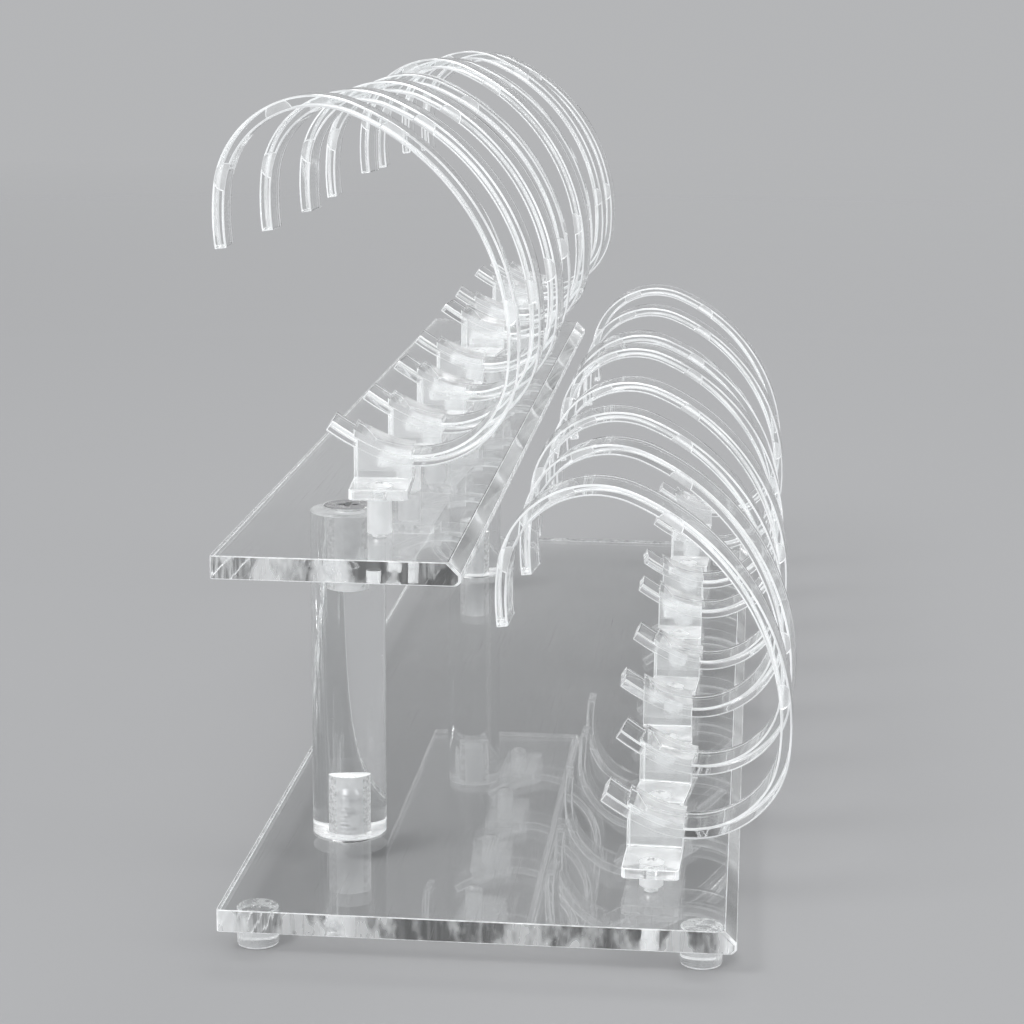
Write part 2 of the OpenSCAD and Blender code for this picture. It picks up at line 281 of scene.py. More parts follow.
def solid(bm, tool, operation):
    """Joins a closed mesh to another, or cuts it with it"""
    blanks = [put("blank", to_mesh("blank", part)) for part in (bm, tool)]
    step = blanks[0].modifiers.new("solid", "BOOLEAN")
    step.operation, step.solver, step.object = operation, "EXACT", blanks[1]
    depsgraph = bpy.context.evaluated_depsgraph_get()
    mesh = bpy.data.meshes.new_from_object(blanks[0].evaluated_get(depsgraph))
    result = bmesh.new()
    result.from_mesh(mesh)
    for blank in blanks:
        old = blank.data
        bpy.data.objects.remove(blank)
        bpy.data.meshes.remove(old)
    bpy.data.meshes.remove(mesh)
    if not result.faces:
        raise RuntimeError("a solid vanished: the pieces that should meet don't")
    return result


def piece(name, bm, materials, nodes, pick=None, flat=()):
    """Makes a mesh one of the object's pieces. pick says which material a face takes, and
    the faces of the materials in flat are shaded flat"""
    bm.normal_update()
    for face in bm.faces:
        face.material_index = pick(face) if pick else 0
    mesh = to_mesh(name, bm)
    mesh.set_sharp_from_angle(angle=SMOOTH)
    for face in mesh.polygons:
        face.use_smooth = face.material_index not in flat
    for m in materials:
        mesh.materials.append(m)
    ob = put(name, mesh)
    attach(ob, BODY)
    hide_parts(*nodes)


def middle(node):
    """Where the axis of a round node stands, with its lowest and highest level"""
    low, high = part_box(node)
    return (low.x + high.x) / 2, (low.y + high.y) / 2, low.z, high.z


def radius_of(node):
    """The radius of a round node, or of the screw heads in one"""
    low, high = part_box(node)
    return (high.x - low.x) / 2


def away(face, x, y):
    """How far a face's middle is from an upright axis"""
    c = face.calc_center_median()
    return Vector((c.x - x, c.y - y, 0)).length


def side_end_slope(face):
    """0 for a turned piece's side, 1 for its flat ends and 2 for the slopes between them"""
    up = abs(face.normal.z)
    return 1 if up > 0.95 else 2 if up > 0.2 else 0


# ---------------------------------------------------------------- materials

class Nodes:
    """A material's node tree, with short calls to add and join nodes"""

    def __init__(self, name):
        self.material = bpy.data.materials.new(name)
        self.material.use_nodes = True
        self.tree = self.material.node_tree
        self.tree.nodes.clear()
        self.place = self.add("ShaderNodeTexCoord").outputs["Object"]

    def feed(self, socket, value):
        """Gives a socket a value, or joins it to another socket"""
        if isinstance(value, bpy.types.NodeSocket):
            self.tree.links.new(value, socket)
        else:
            socket.default_value = value

    def add(self, kind, settings=None, **values):
        """A node with its settings and values. A name's spaces are written as _ here"""
        node = self.tree.nodes.new(kind)
        for key, value in (settings or {}).items():
            setattr(node, key, value)
        for key, value in values.items():
            self.feed(node.inputs[key.replace("_", " ")], value)
        return node

    def math(self, operation, a, b, clamp=False):
        node = self.add("ShaderNodeMath", {"operation": operation, "use_clamp": clamp})
        self.feed(node.inputs[0], a)
        self.feed(node.inputs[1], b)
        return node.outputs[0]

    def spread(self, value, low, high, to_low=0.0, to_high=1.0):
        """Stretches the values between low and high over another range"""
        return self.add("ShaderNodeMapRange", {"clamp": True}, Value=value, From_Min=low,
                        From_Max=high, To_Min=to_low, To_Max=to_high).outputs["Result"]

    def turned_place(self, scale, turn=(0.0, 0.0, 0.0)):
        return self.add("ShaderNodeMapping", Vector=self.place, Scale=scale,
                        Rotation=turn).outputs["Vector"]

    def noise(self, scale, detail, place=None, rough=0.5):
        return self.add("ShaderNodeTexNoise", Vector=place or self.place, Scale=scale,
                        Detail=detail, Roughness=rough).outputs["Fac"]

    def scratches(self, turn, length, width):
        """Thin lines in one direction, each a few centimetres long"""
        across, along = 1 / width, 1 / length
        lines = self.noise(1.0, 1.0, self.turned_place((across, along, across), turn))
        return self.spread(lines, 0.69, 0.73)

    def specks(self, pitch, size, share):
        """Round specks of dust, at random places"""
        cells = self.add("ShaderNodeTexVoronoi", {"feature": "F1"}, Vector=self.place,
                         Scale=1 / pitch)
        near = self.spread(cells.outputs["Distance"], size / pitch, 0.5 * size / pitch)
        chosen = self.math("GREATER_THAN", self.add(
            "ShaderNodeSeparateColor", Color=cells.outputs["Color"]).outputs[0], 1 - share)
        return self.math("MULTIPLY", near, chosen)

    def colours(self, factor, first, second):
        node = self.add("ShaderNodeMix", {"data_type": "RGBA"}, Factor=factor)
        node.inputs[6].default_value = (*first, 1)
        node.inputs[7].default_value = (*second, 1)
        return node.outputs[2]

    def mixed(self, factor, first, second):
        """The first shader where the factor is 0, and the second where it is 1"""
        node = self.add("ShaderNodeMixShader", Fac=factor)
        self.feed(node.inputs[1], first.outputs["BSDF"])
        self.feed(node.inputs[2], second.outputs["BSDF"])
        return node.outputs["Shader"]

    def finish(self, shader):
        self.add("ShaderNodeOutputMaterial", Surface=shader)
        return self.material

    def clear(self, white, tints, roughness, height, depth, shade, painted_glow=0.0):
        """Clear plastic, which turns from the first tint to the second and loses its clearness
        where it is white. shade is how much of a lamp's light it lets through to the floor. Its
        glow is painted light: an emission that stands in for the light from inside the sheet
        that leaves it at a cut edge"""
        bump = self.add("ShaderNodeBump", Height=height, Strength=1.0, Distance=depth)
        # The emission colour and strength are a painted glow, light that no lamp gives
        shader = self.add("ShaderNodeBsdfPrincipled", Base_Color=self.colours(white, *tints),
                          Transmission_Weight=self.math("SUBTRACT", 1.0, white),
                          Roughness=roughness, IOR=1.49, Normal=bump.outputs["Normal"],
                          Emission_Color=(0.96, 0.985, 1.0, 1), Emission_Strength=painted_glow)
        path = self.add("ShaderNodeLightPath").outputs
        seen = self.math("MAXIMUM", path["Is Shadow Ray"], path["Is Diffuse Ray"])
        open_way = self.add("ShaderNodeBsdfTransparent", Color=(shade, shade, shade, 1))
        return self.finish(self.mixed(seen, shader, open_way))


def clear_face(name, finish, wave, dust, rough):
    """Polished clear acrylic with fine scratches, dust and slight waves in its surface"""
    n = Nodes(name)
    worn = n.noise(24.0, 3.0)
    lines = n.math("MULTIPLY", n.scratches((0.2, 0.1, 0.6), 0.03, 0.00013),
                   n.spread(worn, 0.45, 0.6))
    dots = n.specks(0.0028, 0.00016, dust)
    haze = n.spread(worn, 0.55, 0.8, 0.0, 0.04)
    marks = n.math("MAXIMUM", n.math("MULTIPLY", lines, 0.4), n.math("MULTIPLY", dots, 0.9))
    white = n.math("ADD", marks, haze, clamp=True)
    roughness = n.math("ADD", n.math("MULTIPLY", white, 0.35), rough)
    return n.clear(white, (finish.acrylic, (1.0, 1.0, 1.0)), roughness, n.noise(wave, 1.0),
                   depth=0.00006, shade=0.9)


def cut_face(name, finish, patch, least, most, painted_glow):
    """A sawn and flame-polished face: slanting bright patches with fine saw lines in them. The
    patches are whitish, and also glow with painted light
    """
    n = Nodes(name)
    slant = n.turned_place((1.0, 1.0, 0.55), (0.0, 0.6, 0.0))
    patches = n.spread(n.noise(patch, 3.0, slant, 0.6), 0.44, 0.56)
    lines = n.noise(1.0, 1.0, n.turned_place((900.0, 900.0, 60.0), (0.0, 0.5, 0.0)))
    amount = n.math("ADD", n.math("MULTIPLY", patches, 0.6), n.math("MULTIPLY", lines, 0.4))
    bright = n.spread(amount, 0.15, 0.85, least, most)
    return n.clear(bright, (finish.acrylic, finish.edge), n.spread(amount, 0.2, 0.8, 0.05, 0.28),
                   amount, depth=0.00005, shade=0.7,
                   painted_glow=n.spread(bright, 0.0, 1.0, painted_glow * 0.2, painted_glow))


def moulded_face(name, finish, least, most, painted_glow, cloud=170.0):
    """Clear moulded acrylic that is slightly milky, in soft clouds, which also glow faintly with
    painted light
    """
    n = Nodes(name)
    clouds = n.noise(cloud, 3.0)
    milky = n.spread(clouds, 0.35, 0.65, least, most)
    return n.clear(milky, (finish.acrylic, finish.edge), n.spread(clouds, 0.3, 0.7, 0.05, 0.2),
                   clouds, depth=0.00005, shade=0.85,
                   painted_glow=n.spread(clouds, 0.35, 0.65, painted_glow * 0.5, painted_glow))


def glued_face(name, finish):
    """A face in clear glue, with bubbles and bare patches in it, which glows faintly all over with
    painted light
    """
    n = Nodes(name)
    cells = n.add("ShaderNodeTexVoronoi", {"feature": "F1"}, Vector=n.place, Scale=620.0)
    bubbles = n.spread(cells.outputs["Distance"], 0.2, 0.42)
    bare = n.spread(n.noise(330.0, 3.0), 0.42, 0.6, 0.15, 1.0)
    amount = n.math("MULTIPLY", bubbles, bare)
    bright = n.spread(amount, 0.0, 1.0, 0.08, 0.7)
    return n.clear(bright, (finish.acrylic, finish.edge), n.spread(amount, 0.0, 1.0, 0.1, 0.4),
                   amount, depth=0.00012, shade=0.6, painted_glow=0.1)


def frosted_face(name, finish, share, grain, painted_glow, mottling=260.0):
    """A drilled or moulded face that scatters light, mottled and with fine tool lines, which also
    glows with painted light where it is mottled and lined
    """
    n = Nodes(name)
    mottle = n.noise(mottling, 3.0)
    lines = n.noise(1.0, 1.0, n.turned_place((1400.0, 1400.0, grain)))
    amount = n.math("ADD", n.math("MULTIPLY", mottle, 0.65), n.math("MULTIPLY", lines, 0.45))
    bright = n.spread(amount, 0.42, 0.66, share * 0.4, share)
    return n.clear(bright, (finish.acrylic, finish.edge), n.spread(amount, 0.3, 0.8, 0.3, 0.55),
                   amount, depth=0.00005, shade=0.7,
                   painted_glow=n.spread(amount, 0.42, 0.66, painted_glow * 0.5, painted_glow))


def steel_face(name, finish):
    """Bright plated steel with fine turning lines"""
    n = Nodes(name)
    lines = n.noise(1.0, 2.0, n.turned_place((300.0, 300.0, 9000.0)))
    stain = n.spread(n.noise(400.0, 3.0), 0.4, 0.7)
    colour = n.colours(stain, finish.steel, tuple(c * 0.82 for c in finish.steel))
    bump = n.add("ShaderNodeBump", Height=lines, Strength=0.4, Distance=0.00003)
    shader = n.add("ShaderNodeBsdfPrincipled", Base_Color=colour, Metallic=1.0,
                   Roughness=n.spread(stain, 0.0, 1.0, 0.16, 0.34), Normal=bump.outputs["Normal"])
    return n.finish(shader.outputs["BSDF"])


# Each finish's maker and what it is told; the glow that some are told is the strength of a painted
# glow
FINISHES = {
    "sheet_face": (clear_face, {"wave": 22.0, "dust": 0.1, "rough": 0.012}),
    "sheet_cut_edge": (cut_face, {"patch": 125.0, "least": 0.05, "most": 0.5, "painted_glow": 0.36}),
    "sheet_bored": (frosted_face, {"share": 0.9, "grain": 500.0, "painted_glow": 0.3}),
    "sheet_rim": (frosted_face, {"share": 0.95, "grain": 80.0, "painted_glow": 0.5}),
    "sheet_bevel": (moulded_face, {"least": 0.12, "most": 0.3, "painted_glow": 0.24, "cloud": 45.0}),
    "rod_side": (clear_face, {"wave": 55.0, "dust": 0.08, "rough": 0.015}),
    "rod_end": (frosted_face, {"share": 0.95, "grain": 1400.0, "painted_glow": 0.35}),
    "rod_bore": (frosted_face, {"share": 0.8, "grain": 1400.0, "painted_glow": 0.16,
                                "mottling": 620.0}),
    "foot_side": (cut_face, {"patch": 60.0, "least": 0.1, "most": 0.4, "painted_glow": 0.3}),
    "foot_glue": (glued_face, {}),
    "foot_rim": (frosted_face, {"share": 0.9, "grain": 200.0, "painted_glow": 0.4}),
    "post_side": (frosted_face, {"share": 0.6, "grain": 200.0, "painted_glow": 0.25}),
    "post_bored": (frosted_face, {"share": 0.8, "grain": 900.0, "painted_glow": 0.3}),
    "post_rim": (frosted_face, {"share": 0.9, "grain": 200.0, "painted_glow": 0.4}),
    "moulding_face": (clear_face, {"wave": 70.0, "dust": 0.12, "rough": 0.02}),
    "moulding_end": (cut_face, {"patch": 420.0, "least": 0.35, "most": 0.8, "painted_glow": 0.3}),
    "moulding_mark": (moulded_face, {"least": 0.14, "most": 0.28, "painted_glow": 0.2}),
    "moulding_rim": (moulded_face, {"least": 0.6, "most": 0.78, "painted_glow": 0.42, "cloud": 60.0}),
    "moulding_block": (moulded_face, {"least": 0.05, "most": 0.26, "painted_glow": 0.12}),
    "screw_clear": (frosted_face, {"share": 0.92, "grain": 700.0, "painted_glow": 0.25}),
    "screw_steel": (steel_face, {}),
}


def finishes(*names):
    """The materials of these names, each made only once"""
    chosen = []
    for name in names:
        maker, facts = FINISHES[name]
        chosen.append(bpy.data.materials.get(name)
                      or maker(name, bpy.context.scene.rack.finish, **facts))
    return chosen


# ---------------------------------------------------------------- operators

class RackOperator:
    """What the rack's operators share"""
    bl_options = {"REGISTER", "UNDO"}


class RACK_OT_plates(RackOperator, Operator):
    """Make the base plate and the upper plate, with their countersinks and screw holes"""
    bl_idname = "rack.plates"
    bl_label = "Plates"

    def blank(self, node, sizes):
        """A plate without its holes"""
        low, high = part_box(node)
        low, high = low + Vector((0, 0, JOINT)), high - Vector((0, 0, JOINT))
        outline = [(low.x, low.z), (high.x - sizes.edge_break, low.z),
                   (high.x, low.z + sizes.edge_break), (high.x, high.z - sizes.bevel),
                   (high.x - sizes.bevel, high.z), (low.x, high.z)]
        bm = prism([(x, low.y, z) for x, z in outline], (0, high.y - low.y, 0))
        corners = [e for e in bm.edges
                   if abs(e.verts[0].co.y - e.verts[1].co.y) < WELD
                   and abs(e.verts[0].co.z - e.verts[1].co.z) > WELD]
        soften(bm, corners, sizes.corner, 4)
        soften(bm, sharp(bm, radians(40)), sizes.edge_round)
        return tidy_shell(bm)

    def countersinks(self, screws, bore, way):
        """Two countersunk holes for the column screws in a node, which point up or down"""
        low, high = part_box(screws)
        head, lip, depth = radius_of(screws), 0.00002, 0.0065
        profile = [(0, -way * PROUD), (head, -way * PROUD), (head, way * lip),
                   (bore, way * (head - bore)), (bore, way * depth), (0, way * depth)]
        tool = bmesh.new()
        for column in COLUMNS:
            x, y, _, _ = middle(column)
            add(tool, turned(profile, 72, (x, y, low.z if way > 0 else high.z)))
        return tool

    def screw_holes(self, tier, shank):
        """Blind holes under the posts of a tier"""
        radius, tool = shank / 2 + JOINT, bmesh.new()
        for k in range(1, RINGS + 1):
            x, y, low, _ = middle(f"{tier}_post_{k}")
            end = low - HOLE_DEPTH
            profile = [(0, end - HOLE_POINT), (radius, end), (radius, low + PROUD),
                       (0, low + PROUD)]
            add(tool, turned(profile, 60, (x, y, 0)))
        return tool

    def execute(self, context):
        s = context.scene.rack
        materials = finishes("sheet_face", "sheet_cut_edge", "sheet_bored", "sheet_rim",
                             "sheet_bevel")
        edge, rim, slope_area = 0.001, s.plates.bevel + 0.0001, 0.00022

        def pick(f):
            """The outer faces are the selected ones, and the large slope is the bevel"""
            if not f.select:
                return 0 if abs(f.normal.z) > FACING else 2
            if max(abs(a) for a in f.normal) < 0.97:
                return 3 if f.calc_area() < slope_area else 4
            return 0 if abs(f.normal.z) > FACING else 1

        for node, screws, tier, way in (("base_plate", "column_base_screws", "lower", 1),
                                        ("upper_plate", "column_top_screws", "upper", -1)):
            low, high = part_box(node)
            tools = add(self.countersinks(screws, s.rods.bore / 2, way),
                        self.screw_holes(tier, s.rings.shank))
            bm = solid(self.blank(node, s.plates), tools, "DIFFERENCE")
            for f in bm.faces:
                c = f.calc_center_median()
                f.select = (c.x < low.x + edge or c.x > high.x - rim
                            or c.y < low.y + edge or c.y > high.y - edge)
            piece(f"{node}_sheet", bm, materials, [node], pick,
                  flat=(0, 1, 3, 4))
        return {"FINISHED"}


class RACK_OT_columns(RackOperator, Operator):
    """Make the two columns, with a drilled hole in each end"""
    bl_idname = "rack.columns"
    bl_label = "Columns"

    def execute(self, context):
        rods = context.scene.rack.rods
        materials = finishes("rod_side", "rod_end", "rod_bore")
        bore, depth, point, edge = rods.bore / 2, rods.bore_depth, 0.0007, 0.0003
        for node in COLUMNS:
            x, y, low, high = middle(node)
            radius, low, high = radius_of(node), low + JOINT, high - JOINT
            profile = [(0, low + depth + point), (bore, low + depth), (bore, low + edge),
                       (bore + edge, low), (radius - edge, low), (radius, low + edge),
                       (radius, high - edge), (radius - edge, high), (bore + edge, high),
                       (bore, high - edge), (bore, high - depth), (0, high - depth - point)]
            bm = turned(profile, rods.sides, (x, y, 0))

            def pick(f):
                if abs(f.normal.z) < 0.5:
                    return 0 if away(f, x, y) > radius * 0.97 else 2
                return 1

            piece(f"{node}_rod", bm, materials, [node], pick)
        return {"FINISHED"}


class RACK_OT_feet(RackOperator, Operator):
    """Make the four round feet"""
    bl_idname = "rack.feet"
    bl_label = "Feet"

    def execute(self, context):
        materials = finishes("foot_side", "foot_glue", "foot_rim")
        # The bottom edge is rounded in two slopes that meet at the nick, the top edge in one
        bottom, nick, top = 0.0005, 0.00015, 0.00025
        for place in ("front_left", "front_right", "rear_left", "rear_right"):
            node = f"foot_{place}"
            x, y, low, high = middle(node)
            radius, high = radius_of(node), high - JOINT
            profile = [(0, low), (radius - bottom, low), (radius - nick, low + nick),
                       (radius, low + bottom), (radius, high - top), (radius - top, high),
                       (0, high)]
            bm = turned(profile, 64, (x, y, 0))
            piece(f"{node}_disc", bm, materials, [node], side_end_slope)
        return {"FINISHED"}


class RACK_OT_posts(RackOperator, Operator):
    """Make the short posts under the rings, each with a hole through it"""
    bl_idname = "rack.posts"
    bl_label = "Posts"

    def execute(self, context):
        materials = finishes("post_side", "post_bored", "post_rim")
        hole, edge = context.scene.rack.rods.post_hole / 2, 0.0002
        for node in (f"{tier}_post_{k}" for tier in TIERS for k in range(1, RINGS + 1)):
            x, y, low, high = middle(node)
            radius, low, high = radius_of(node), low + JOINT, high - JOINT
            profile = [(hole, low), (radius - edge, low), (radius, low + edge),
                       (radius, high - edge), (radius - edge, high), (hole, high)]
            bm = turned(profile, 64, (x, y, 0))

            def pick(f):
                if side_end_slope(f) == 2:
                    return 2
                return 0 if away(f, x, y) > radius * 0.9 else 1

            piece(f"{node}_tube", bm, materials, [node], pick)
        return {"FINISHED"}


class RACK_OT_rings(RackOperator, Operator):
    """Make the sixteen open oval rings, each one moulding with its block and screw tab"""
    bl_idname = "rack.rings"
    bl_label = "Rings"

    # Each ejector mark's arc, its place along the arc, and its face: 1 the front, -1 the rear
    MARKS = ((2, 0.86, 1), (2, 0.2, 1), (3, 0.93, 1), (3, 0.45, -1))
    MARK_DEPTH, MARK_RIM = 0.0002, 0.0004
    # The level up to which the block's faces are milky, and its lower end inside the tab
    BLOCK_TOP, BLOCK_FOOT = 0.0115, 0.0004
    # A face this near to a surface belongs to it
    NEAR = 0.0001

    def lay_out(self, r):
        """The oval's arcs in its own plane, each with its centre, radius, start, stop and steps,
        and where the oval's middle and the strip's two ends stand. The arcs meet on the long
        sides of triangles of 3, 4 and 5 steps"""
        side_radius, j = r.end_radius + 5 * r.step, atan2(3, 4)
        z = r.tab_thickness + r.lift + r.end_radius + 3 * r.step * cos(r.lean)
        self.centre, self.joint, self.side_radius = Vector((-r.offset, z)), j, side_radius
        side, end = 4 * r.step, 3 * r.step
        self.arcs = [
            ((side, 0), side_radius, pi + j - r.lower_reach, pi + j, 8),
            ((0, -end), r.end_radius, pi + j, 2 * pi - j, 44),
            ((-side, 0), side_radius, -j, j, 40),
            ((0, end), r.end_radius, j, pi - j, 44),
            ((side, 0), side_radius, pi - j, pi - j + r.upper_reach, 8),
        ]
        self.tips = [(*self.on_arc(r, arc, share, r.thickness / 2), way + r.lean)
                     for arc, share, way in ((0, 0.0, self.arcs[0][2]), (4, 1.0, self.arcs[4][3]))]

    def leaned(self, r, x, z):
        """A point of the oval's plane, once the oval leans and stands in its place"""
        c, s = cos(r.lean), sin(r.lean)
        return self.centre.x + c * x - s * z, self.centre.y + s * x + c * z

    def on_arc(self, r, arc, share, depth):
        """The point at a share of an arc, at a depth under the strip's outer surface"""
        (cx, cz), radius, start, stop, _ = self.arcs[arc]
        way = start + (stop - start) * share
        return self.leaned(r, cx + (radius - depth) * cos(way), cz + (radius - depth) * sin(way))

    def strip(self, r):
        """The strip: its rounded section, spun through the five arcs from end to end"""
        bm = bmesh.new()
        made = bmesh.ops.create_grid(bm, x_segments=1, y_segments=1, size=0.5)
        bmesh.ops.scale(bm, vec=(r.thickness, r.width, 1), verts=made["verts"])
        bmesh.ops.bevel(bm, geom=bm.verts[:], offset=r.rounding, offset_type="OFFSET", segments=3,
                        profile=0.5, affect="VERTICES", material=-1, clamp_overlap=True)
        way = self.arcs[0][2] + r.lean
        x, z = self.on_arc(r, 0, 0.0, r.thickness / 2)
        across, along = Vector((cos(way), 0, sin(way))), Vector((0, 1, 0))
        section = Matrix.Translation((x, r.front + r.width / 2, z))
        turn = Matrix((across, along, across.cross(along))).transposed().to_4x4()
        bmesh.ops.transform(bm, matrix=section @ turn, verts=bm.verts)
        bmesh.ops.delete(bm, geom=bm.faces[:], context="FACES_ONLY")
        geometry = bm.verts[:] + bm.edges[:]
        for (cx, cz), _, start, stop, steps in self.arcs:
            x, z = self.leaned(r, cx, cz)
            spun = bmesh.ops.spin(bm, geom=geometry, cent=(x, 0, z), axis=(0, -1, 0),
                                  dvec=(0, 0, 0), angle=stop - start, steps=steps)
            geometry = spun["geom_last"]
        tidy_shell(bm)
        rims = [e for e in bm.edges if len(e.link_faces) == 1]
        caps = bmesh.ops.holes_fill(bm, edges=rims, sides=0)["faces"]
        soften(bm, {e for f in caps for e in f.edges}, 0.00022)
        return tidy_shell(bm)

    def inner_line(self, r, depth, points):
        """Points at a depth under the strip's outer surface over the tab, left to right"""
        line = []
        (ox, oz), (lx, lz) = self.leaned(r, 4 * r.step, 0), self.leaned(r, 0, -3 * r.step)
        joint_x = lx - (r.end_radius - depth) * cos(r.lean + self.joint)
        for k in range(points + 1):
            x = r.tab_width * (k / points - 0.5)
            cx, cz, radius = ((ox, oz, self.side_radius) if x < joint_x
                              else (lx, lz, r.end_radius))
            line.append((x, cz - sqrt((radius - depth) ** 2 - (x - cx) ** 2)))
        return line

    def foot(self, r):
        """The block under the strip, up to the seat inside it, and the tab"""
        half, c = r.tab_width / 2, r.tab_corner
        top = self.inner_line(r, r.thickness + r.saddle, 14)
        front, back = r.front + JOINT, r.front + r.width - JOINT
        outline = [(half, self.BLOCK_FOOT), (-half, self.BLOCK_FOOT)] + top
        block = prism([(x, front, z) for x, z in outline], (0, back - front, 0))
        upright = [e for e in block.edges if abs(e.verts[0].co.y - e.verts[1].co.y) < WELD
                   and abs(e.verts[0].co.x - e.verts[1].co.x) < WELD]
        soften(block, upright, 0.0002)
        back = r.front + r.width
        corner = [(half - c + c * cos(a), -r.tab_front + c + c * sin(a))
                  for a in (-pi / 2 + pi / 2 * k / 6 for k in range(7))]
        outline = [(-x, y) for x, y in reversed(corner)] + corner + [(half, back), (-half, back)]
        tab = prism([(x, y, 0) for x, y in outline], (0, 0, r.tab_thickness))
        soften(tab, sharp(tab, radians(60)), 0.00018)
        return solid(tidy_shell(tab), tidy_shell(block), "UNION")

    def hole(self, r):
        """What the screw's countersunk hole takes out of the tab"""
        play, top = 0.00015, r.tab_thickness
        head, bore, cone = r.head / 2, r.shank / 2 + play, (r.head - r.shank) / 2
        return turned([(0, -PROUD), (bore, -PROUD), (bore, top - cone + play), (head, top),
                       (head, top + PROUD), (0, top + PROUD)], 64)

    def marks(self, r):
        """Shallow round ejector marks with sloping rims, half on the strip"""
        disc, depth = r.mark / 2, self.MARK_DEPTH
        rim = disc + self.MARK_RIM
        tool = bmesh.new()
        for arc, share, way in self.MARKS:
            x, z = self.on_arc(r, arc, share, r.thickness)
            y = r.front if way > 0 else r.front + r.width
            pin = turned([(0, -depth), (disc, -depth), (rim, self.NEAR), (rim, PROUD),
                          (0, PROUD)], 72)
            bmesh.ops.transform(pin, matrix=Matrix.Translation((x, y, z))
                                @ Matrix.Rotation(way * pi / 2, 4, "X"), verts=pin.verts)
            add(tool, pin)
        return tool

    def master(self, r):
        """One ring, with its screw's axis at the origin and its tab's underside at z = 0"""
        self.lay_out(r)
        bm = solid(self.strip(r), self.foot(r), "UNION")
        bm = solid(bm, self.hole(r), "DIFFERENCE")
        return solid(bm, self.marks(r), "DIFFERENCE")

    def pick(self, r, f):
        """A face's finish: 0 clear, 1 bright end, 2 mark or bore, 3 rim, 4 block"""
        c, n = f.calc_center_median(), f.normal
        inside = min(c.y - r.front, r.front + r.width - c.y)
        if abs(n.y) < 0.3 and 0 < inside < self.MARK_DEPTH:
            return 3
        if c.z < r.tab_thickness + self.NEAR and c.x ** 2 + c.y ** 2 < (r.head / 2) ** 2:
            return 2
        if abs(n.y) > FACING and self.MARK_DEPTH / 2 < inside < self.MARK_DEPTH * 2:
            return 2
        for x, z, way in self.tips:
            if (abs(c.x - x) < r.thickness and abs(c.z - z) < r.thickness
                    and abs(-n.x * sin(way) + n.z * cos(way)) > FACING):
                return 1
        low = c.z < r.tab_thickness + r.lift
        if 0.15 < abs(n.y) < 0.97 or low and sorted(abs(a) for a in n)[1] > 0.2:
            return 3
        if (abs(c.x) < r.tab_width / 2 + WELD and inside > -WELD
                and r.tab_thickness + self.NEAR < c.z < self.BLOCK_TOP):
            return 4
        return 0

    def execute(self, context):
        s = context.scene.rack
        materials = finishes("moulding_face", "moulding_end", "moulding_mark", "moulding_rim",
                             "moulding_block")
        master = self.master(s.rings)
        master.normal_update()
        for f in master.faces:
            f.material_index = self.pick(s.rings, f)
        for tier in TIERS:
            for k in range(1, RINGS + 1):
                node = f"{tier}_ring_{k}"
                x, y, _, top = middle(f"{tier}_post_{k}")
                turn = getattr(s.turns, tier)[k - 1]
                bm = master.copy()
                place = Matrix.Translation((x, y, top)) @ Matrix.Rotation(-turn, 4, "Z")
                bmesh.ops.transform(bm, matrix=place, verts=bm.verts)
                piece(f"{node}_moulding", bm, materials, [node],
                      lambda f: f.material_index)
        master.free()
        return {"FINISHED"}


def cross(size, depth, z, way):
    """The cross-shaped hole for a driver, from a level inwards. It stands a little askew, so
    that none of its sides lies in the plane of a face of the screw"""
    arm, tip, above, askew = size * 0.13, size * 0.3, 0.0008, 0.02
    tool = bmesh.new()
    for turn in (0, pi / 2):
        bar = bmesh.new()
        made = bmesh.ops.create_cube(bar, size=1.0)
        bmesh.ops.scale(bar, vec=(size, arm * 2, 1), verts=made["verts"])
        for v in bar.verts:
            inner = v.co.z * way > 0
            v.co.x *= 2 * tip / size if inner else 1
            v.co.z = z + way * (depth if inner else -above)
        bmesh.ops.rotate(bar, cent=(0, 0, 0), matrix=Matrix.Rotation(turn + askew, 3, "Z"),
                         verts=bar.verts)
        tool = solid(tool, bar, "UNION") if tool.faces else add(tool, tidy_shell(bar))
    return tidy_shell(tool)


def thread(radius, start, stop, pitch):
    """Outline of a screw's thread, crest and root in turn, from one level to another"""
    way = 1 if stop > start else -1
    count = int(abs(stop - start) / pitch)
    line = []
    for k in range(count):
        z = start + way * pitch * k
        line += [(radius, z + way * pitch * 0.1), (radius - pitch * 0.45, z + way * pitch * 0.5),
                 (radius, z + way * pitch * 0.9)]
    return line


